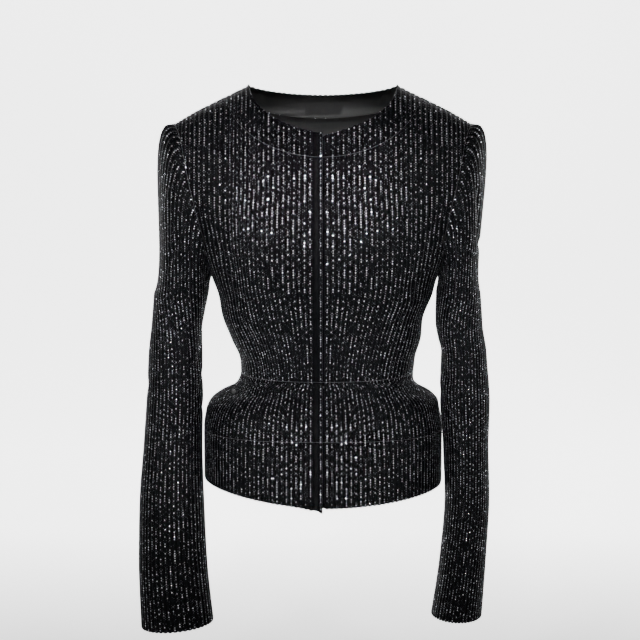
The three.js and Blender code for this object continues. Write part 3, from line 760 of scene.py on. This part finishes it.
# The sleeves.
# Long two-piece sleeves of the same ribbed leather, an upper and an under one, with full heads set
# into the armholes and scalloped free cuffs. Their ribs wind a little towards the body.
SLEEVE_COLUMNS = ("z", "x", "y", "wide", "deep", "twist")
SLEEVES = {
    "right": [
        (-262, 179.5, 0, 35, 52, -10),
        (-300, 184.5, -3, 33, 47, -26),
        (-340, 187, -9, 34.5, 44, -35),
        (-390, 187.5, -20, 36, 42, -36),
        (-450, 189.5, -34, 37.5, 40, -36),
        (-515, 191, -44, 41, 38, -36),
        (-590, 190, -52, 43.5, 35, -36),
        (-690, 183.5, -58, 47, 33, -36),
    ],
    "left": [
        (-262, 171.5, 0, 28.5, 52, -2),
        (-300, 172.5, -3, 30, 47, -14),
        (-340, 178.5, -9, 29.5, 45, -22),
        (-390, 179.5, -20, 32, 43, -24),
        (-450, 180, -42, 29, 43, -24),
        (-515, 182, -44, 28.5, 43, -28),
        (-590, 177, -52, 29.5, 44, -33),
        (-690, 166, -58, 33.5, 45, -36),
    ],
}
CUFF = {"right": (-677, 6), "left": (-665, 1)}  # height, and rise towards the body

# The head by the angle from the underarm (0) to the shoulder tip (180): share of the armhole's
# length, how the cloth springs out, forward and up, how firmly it hangs, its flare and its fold.
HEAD_COLUMNS = ("angle", "along", "out", "forward", "up", "drop", "flare", "fold")
SLEEVE_HEAD = [
    (0, 0, 6, 0, -8, 16, 0, 165),
    (40, 0.24, 14, 8, -14, 34, 0, 95),
    (75, 0.47, 30, 22, -30, 70, 8, 45),
    (110, 0.68, 60, 28, -6, 110, 30, 20),
    (145, 0.85, 100, 18, 34, 135, 48, 0),
    (180, 1, 130, 0, 60, 150, 62, 0),
]
HEAD_FULLNESS = {"right": (1.02, 0.9), "left": (1.05, 0.55)}
HEAD_TOP_Z = -262
HEAD_END = 0.42
SLEEVE_PIECES = {"upper": (75, 285, 26), "under": (-75, 75, 18)}
SLEEVE_SEAM_INSET = 0.25

# A sleeve's normal turns from the armhole's, and its creases set in, over these shares of its
# length. Its head is measured at so many points, and the ribs' ends take it to be so long.
NORMAL_TURN = 0.06
CREASE_START = 0.08
HEAD_POINTS = 90
HEAD_LENGTH = 60

# Creases of the sleeves: angle and z of both ends, half-width and depth. Round a sleeve a degree
# is about this many millimetres.
DEGREE = 0.66
SLEEVE_CREASES = {
    "right": [
        (80, -158, 128, -222, 5, 2.6),
        (66, -190, 100, -236, 5, 1.8),
        (120, -120, 150, -176, 9, -1.6),
        (70, -250, 120, -276, 7, 1.5),
        (20, -300, 70, -352, 7, 1.6),
        (10, -352, 76, -392, 7, 1.8),
        (16, -400, 80, -420, 6, 1.4),
        (200, -372, 262, -400, 8, 1.5),
        (150, -470, 100, -520, 10, 1.0),
        (230, -300, 280, -330, 9, 1.4),
        (60, -560, 110, -600, 9, 0.9),
        (215, -170, 250, -230, 8, 2.0),
    ],
    "left": [
        (132, -126, 152, -204, 5, 2.8),
        (150, -196, 205, -206, 6, 2.2),
        (60, -176, 112, -214, 4, 1.9),
        (50, -206, 100, -246, 4, 1.6),
        (84, -150, 118, -196, 7, -1.6),
        (60, -262, 130, -288, 6, 1.5),
        (14, -330, 80, -372, 7, 1.7),
        (10, -384, 84, -410, 7, 1.6),
        (206, -380, 268, -402, 8, 1.4),
        (90, -452, 140, -500, 9, 1.1),
        (60, -548, 116, -580, 8, 1.0),
        (212, -160, 256, -226, 8, 2.0),
    ],
}


def ring(name, z, column):
    k = SLEEVE_COLUMNS.index(column)
    return curve([row[0] for row in SLEEVES[name]], [row[k] for row in SLEEVES[name]], z)


def sleeve_ring(name, angle, z):
    a = np.radians(angle + ring(name, z, "twist"))
    x = ring(name, z, "x") - ring(name, z, "wide") * np.cos(a)
    return np.stack([x, ring(name, z, "y") - ring(name, z, "deep") * np.sin(a), z], 1)


def armhole_loop(side, face):
    """One side's armhole from the underarm to the shoulder tip: points, the body's normals, the
    ways off the body and shares of the length."""
    under = np.arange(ARMHOLE_END, ARMHOLE_START, -0.5)
    over = np.arange(ARMHOLE_START, ARMHOLE_END + 0.01, 0.25)
    rib = np.concatenate([under, over])
    z = np.concatenate([seam_z(UNDERARM, under), seam_z(ARMHOLE[face], over)])
    along = bodice_along(face, FIRST_RIB["right"], rib, z)
    point = body_point(face, along, z)
    point[:, 0] += side * leaning(point[:, 0], z)
    normal = body_normal(face, along, z)
    ends = point[1:2] - point[:1], point[-1:] - point[-2:-1]
    way = np.concatenate([ends[0], point[2:] - point[:-2], ends[1]])
    off = unit(np.cross(way, normal)) * (1 if face == "front" else -1)
    length = np.concatenate([[0], np.cumsum(np.linalg.norm(np.diff(point, axis=0), axis=1))])
    return point, normal, off, length / length[-1]


loops = {part: {face: armhole_loop(side, face) for face in ARMHOLE} for part, side in SIDES.items()}


def sleeve_root(name, angle):
    """Where the sleeve springs from the armhole, at angles round it."""
    turn = angle % 360
    behind = turn > 180
    start = np.where(behind, 360 - turn, turn)
    head = {c: curve([r[0] for r in SLEEVE_HEAD], [r[k] for r in SLEEVE_HEAD], start)
            for k, c in enumerate(HEAD_COLUMNS) if k}
    found = []
    for m in range(3):
        both = []
        for face in ("front", "back"):
            loop = loops[name][face]
            axes = [np.interp(head["along"], loop[3], loop[m][:, axis]) for axis in range(3)]
            both.append(np.stack(axes, 1))
        found.append(np.where(behind[:, None], both[1], both[0]))
    point, normal, off = found[0], unit(found[1]), unit(found[2])
    fold = np.radians(head["fold"])
    gap = np.maximum(0, fold - math.pi / 2)
    clear = SEAM_GAP + 0.1
    point = point + off * (clear * np.cos(gap))[:, None] + normal * (clear * np.sin(gap))[:, None]
    inward = normal * -np.cos(fold)[:, None] + off * np.sin(fold)[:, None]
    full_out, full_flare = HEAD_FULLNESS[name]
    forward = np.where(behind, head["forward"], -head["forward"])
    spring = np.stack([head["out"] * full_out, forward, head["up"]], 1)
    return point, inward, spring, head["drop"], head["flare"] * full_flare


def sleeve_foot(name, angle, reach):
    height, rise = CUFF[name]
    return height + rise * np.cos(np.radians(angle)) - reach


def sleeve_point(name, angle, share, reach=0.0):
    """Points of a sleeve's outer face, x outwards. share runs from the armhole to the cuff."""
    drop_share = np.clip((share - HEAD_END) / (1 - HEAD_END), 0, 1)
    fall = sleeve_foot(name, angle, reach) - HEAD_TOP_Z
    below = sleeve_ring(name, angle, HEAD_TOP_Z + fall * drop_share)
    t = np.clip(share / HEAD_END, 0, 1)[:, None]
    point, _, spring, drop, flare = sleeve_root(name, angle)
    top = np.full(len(angle), float(HEAD_TOP_Z))
    end = sleeve_ring(name, angle, top)
    hang = unit(sleeve_ring(name, angle, top - 8) - end) * drop[:, None]
    hang[:, 0] += flare
    over = point * (1 + 2 * t) * (1 - t) ** 2 + spring * t * (1 - t) ** 2
    over += end * t * t * (3 - 2 * t) + hang * t * t * (t - 1)
    return np.where((share >= HEAD_END)[:, None], below, over)


def sleeve_normal(name, angle, share):
    around = sleeve_point(name, angle + 1, share) - sleeve_point(name, angle - 1, share)
    down = sleeve_point(name, angle, np.minimum(1, share + 0.003))
    down = down - sleeve_point(name, angle, np.maximum(0, share - 0.003))
    normal = -unit(np.cross(around, down))
    root = -sleeve_root(name, angle)[1]
    t = np.clip(share / NORMAL_TURN, 0, 1)[:, None]
    return unit(root * (1 - t) + normal * t)


def sleeve_frames(name, side, angle, share, reach):
    point = sleeve_point(name, angle, share, reach)
    normal = sleeve_normal(name, angle, share)
    table = [(a0 * DEGREE, z0, a1 * DEGREE, z1, half_width, depth)
             for a0, z0, a1, z1, half_width, depth in SLEEVE_CREASES[name]]
    lift = crease_lift(angle % 360 * DEGREE, point[:, 2], table)
    clear = np.clip(share / CREASE_START, 0, 1)
    point = point + normal * (lift * clear)[:, None]
    return point * (side, 1, 1), normal * (side, 1, 1)


def sleeve_rows(name, angle, reach, pitch):
    """Shares of one column's rows from the armhole to the cuff, and their stitch numbers."""
    share = np.linspace(0, HEAD_END, HEAD_POINTS)
    point = sleeve_point(name, np.full(HEAD_POINTS, angle), share)
    length = np.concatenate([[0], np.cumsum(np.linalg.norm(np.diff(point, axis=0), axis=1))])
    steps = max(2, round(length[-1] / pitch))
    head = np.interp(np.linspace(0, length[-1], steps + 1), length, share)[:-1]
    head_stitch = (HEAD_TOP_Z + np.linspace(length[-1], 0, steps + 1)[:-1]) / STITCH
    foot = float(sleeve_foot(name, angle, reach))
    z = np.append(np.arange(HEAD_TOP_Z, foot + END_ROOM * pitch, -pitch), foot)
    ring_share = HEAD_END + (1 - HEAD_END) * (z - HEAD_TOP_Z) / (foot - HEAD_TOP_Z)
    return np.concatenate([head, ring_share]), np.concatenate([head_stitch, z / STITCH])


def sleeve_shell(name, piece, side):
    first, last, ribs = SLEEVE_PIECES[piece]
    columns = panel_columns("front", 0, ribs)
    rib, raised = np.array([(c.rib, c.high) for c in columns], float).T
    span = last - first - 2 * SLEEVE_SEAM_INSET
    angles = first + SLEEVE_SEAM_INSET + span * rib / ribs
    reach = SCALLOP * raised
    kept = inner_columns(columns)

    def lines(indices, pitch):
        runs = [sleeve_rows(name, angles[i], reach[i], pitch) for i in indices]
        ends = np.cumsum([0] + [len(run[0]) for run in runs])
        k = np.repeat(indices, [len(run[0]) for run in runs])
        share, stitch = (np.concatenate([run[m] for run in runs]) for m in (0, 1))
        return k, share, stitch, [np.arange(a, b) for a, b in zip(ends, ends[1:])]

    k, share, stitch, outer = lines(range(len(columns)), STITCH / 2)
    point, normal = sleeve_frames(name, side, angles[k], share, reach[k])
    foot = sleeve_foot(name, angles[k], reach[k])
    dip = RELIEF * (1 - raised[k]) + beads(rib[k], raised[k], stitch)
    from_foot = np.where(share > HEAD_END, point[:, 2] - foot, math.inf)
    dip += end_rounding("free", raised[k], from_foot)
    dip += end_rounding("seam", raised[k], share / HEAD_END * HEAD_LENGTH)
    face_points = point - normal * dip[:, None]
    ki, share_in, stitch_in, inner = lines(kept, INSIDE_PITCH["sleeve"])
    point, normal = sleeve_frames(name, side, angles[ki], share_in, reach[ki])
    back_points = point - normal * WALL
    inner = [run + len(face_points) for run in inner]
    whole = np.zeros(len(columns), bool)
    faces = wall_faces(outer, inner, kept, np.concatenate([share, share_in]), whole)
    uv = np.concatenate([np.stack([rib[k], stitch], 1), np.stack([rib[ki], stitch_in], 1)])
    points = np.concatenate([face_points, back_points])
    flip = faces[:, ::-1] if side > 0 else faces
    return make_cloth(f"sleeve_{piece}_{name}_cloth", points, flip, uv, len(face_points))


for part, side in SIDES.items():
    dress(sleeve_shell(part, "upper", side), f"sleeve_upper_{part}", (0.299, 0.659), 0.0946)
    dress(sleeve_shell(part, "under", side), f"sleeve_under_{part}", (0.229, 0.534), 0.0505)

# The stage.
# A pale floor that curves up into a pale wall behind the jacket, which hangs clear of it. The paper
# carries a painted glow that stands in for the light on a studio backdrop: nil on the floor in front,
# growing from below the jacket backwards to full, and full up the wall. Large lamps stand in front on
# both sides, two weak narrow ones light the bust and the hips, and two stand behind at the sides.
FLOOR_Z = -0.78
PAPER = {"half": 4.0, "front": -4.0, "bend": 1.6, "radius": 1.0, "top": 3.0, "steps": 12}
# Strength of the paper's painted glow, and the y over which it grows from nil to full, with the two
# values that they turn into.
PAPER_GLOW = 3.2
GLOW_RANGE = (0.0, 0.9, 0.0, 1)

# Lamps: name, place, aim, width and height, watts and how wide they spread in degrees. Then the
# strength of the light all round, and the camera with its tilt in degrees.
LAMPS = [
    ("front_left", (-1.15, -2.35, 0.85), (0, 0, -0.2), (0.35, 0.5), 34, 180),
    ("front_right", (1.25, -2.3, 0.85), (0, 0, -0.2), (0.35, 0.5), 28, 180),
    ("bust", (-0.3, -2.4, 0.9), (0, 0, -0.2), (0.6, 0.3), 2.3, 12),
    ("low", (-0.1, -2.5, -0.5), (0, 0, -0.4), (0.5, 0.3), 1.2, 14),
    ("behind_left", (-1.7, 0.8, 0.3), (0, 0, -0.3), (0.3, 1.2), 12, 180),
    ("behind_right", (1.7, 0.8, 0.3), (0, 0, -0.3), (0.3, 1.2), 12, 180),
]
ROOM_LIGHT = 0.02
CAMERA = {"place": (-0.0038, -2.9708, 0.1200), "tilt": 82, "lens": 132.87, "sensor": 36}


def paper_with_painted_glow_material():
    """Paper with a painted glow that stands in for the light on a studio backdrop: nil on the floor in
    front, it grows from below the jacket backwards to full and stays full up the wall.
    """
    material = bpy.data.materials.new("paper_painted_glow")
    material.use_nodes = True
    nodes, links = material.node_tree.nodes, material.node_tree.links
    shader = nodes["Principled BSDF"]
    shader.inputs["Base Color"].default_value = (0.9, 0.9, 0.9, 1)
    shader.inputs["Roughness"].default_value = 0.9
    coordinates = nodes.new("ShaderNodeTexCoord")
    split = nodes.new("ShaderNodeSeparateXYZ")
    links.new(coordinates.outputs["Object"], split.inputs[0])
    # Painted glow: the paper's emission grows with y, nil in front and full towards the wall.
    links.new(mapped(nodes, links, split.outputs["Y"], *GLOW_RANGE), shader.inputs["Emission Color"])
    shader.inputs["Emission Strength"].default_value = PAPER_GLOW
    return material


def sweep():
    """A sheet of paper: floor, quarter round and wall."""
    bend, radius, steps = PAPER["bend"], PAPER["radius"], PAPER["steps"]
    line = [(PAPER["front"], FLOOR_Z), (bend, FLOOR_Z)]
    for k in range(1, steps + 1):
        a = math.pi / 2 * k / steps
        line.append((bend + radius * math.sin(a), FLOOR_Z + radius * (1 - math.cos(a))))
    line.append((bend + radius, PAPER["top"]))
    points = [(x, y, z) for y, z in line for x in (-PAPER["half"], PAPER["half"])]
    faces = [(2 * i, 2 * i + 1, 2 * i + 3, 2 * i + 2) for i in range(len(line) - 1)]
    mesh = bpy.data.meshes.new("paper_sweep")
    mesh.from_pydata(points, [], faces)
    mesh.shade_smooth()
    mesh.materials.append(paper_with_painted_glow_material())
    paper = bpy.data.objects.new("paper_sweep", mesh)
    bpy.context.collection.objects.link(paper)
    return paper


def lamp(name, place, aim, size, watts, spread):
    data = bpy.data.lights.new(name, "AREA")
    data.spread = math.radians(spread)
    data.shape = "RECTANGLE"
    data.size, data.size_y = size
    data.energy = watts
    light = bpy.data.objects.new(name, data)
    bpy.context.collection.objects.link(light)
    light.location = place
    way = np.array(aim) - np.array(place)
    pitch = math.atan2(math.hypot(way[0], way[1]), -way[2])
    light.rotation_euler = (pitch, 0, math.atan2(-way[0], way[1]))
    return light


sweep()
for row in LAMPS:
    lamp(*row)

world = bpy.data.worlds.new("soft_room")
world.use_nodes = True
surroundings = world.node_tree.nodes["Background"]
surroundings.inputs["Color"].default_value = (1, 1, 1, 1)
surroundings.inputs["Strength"].default_value = ROOM_LIGHT
bpy.context.scene.world = world

camera_data = bpy.data.cameras.new("camera")
camera_data.sensor_width = CAMERA["sensor"]
camera_data.lens = CAMERA["lens"]
camera = bpy.data.objects.new("camera", camera_data)
bpy.context.collection.objects.link(camera)
camera.location = CAMERA["place"]
camera.rotation_euler = (math.radians(CAMERA["tilt"]), 0, 0)
bpy.context.scene.camera = camera
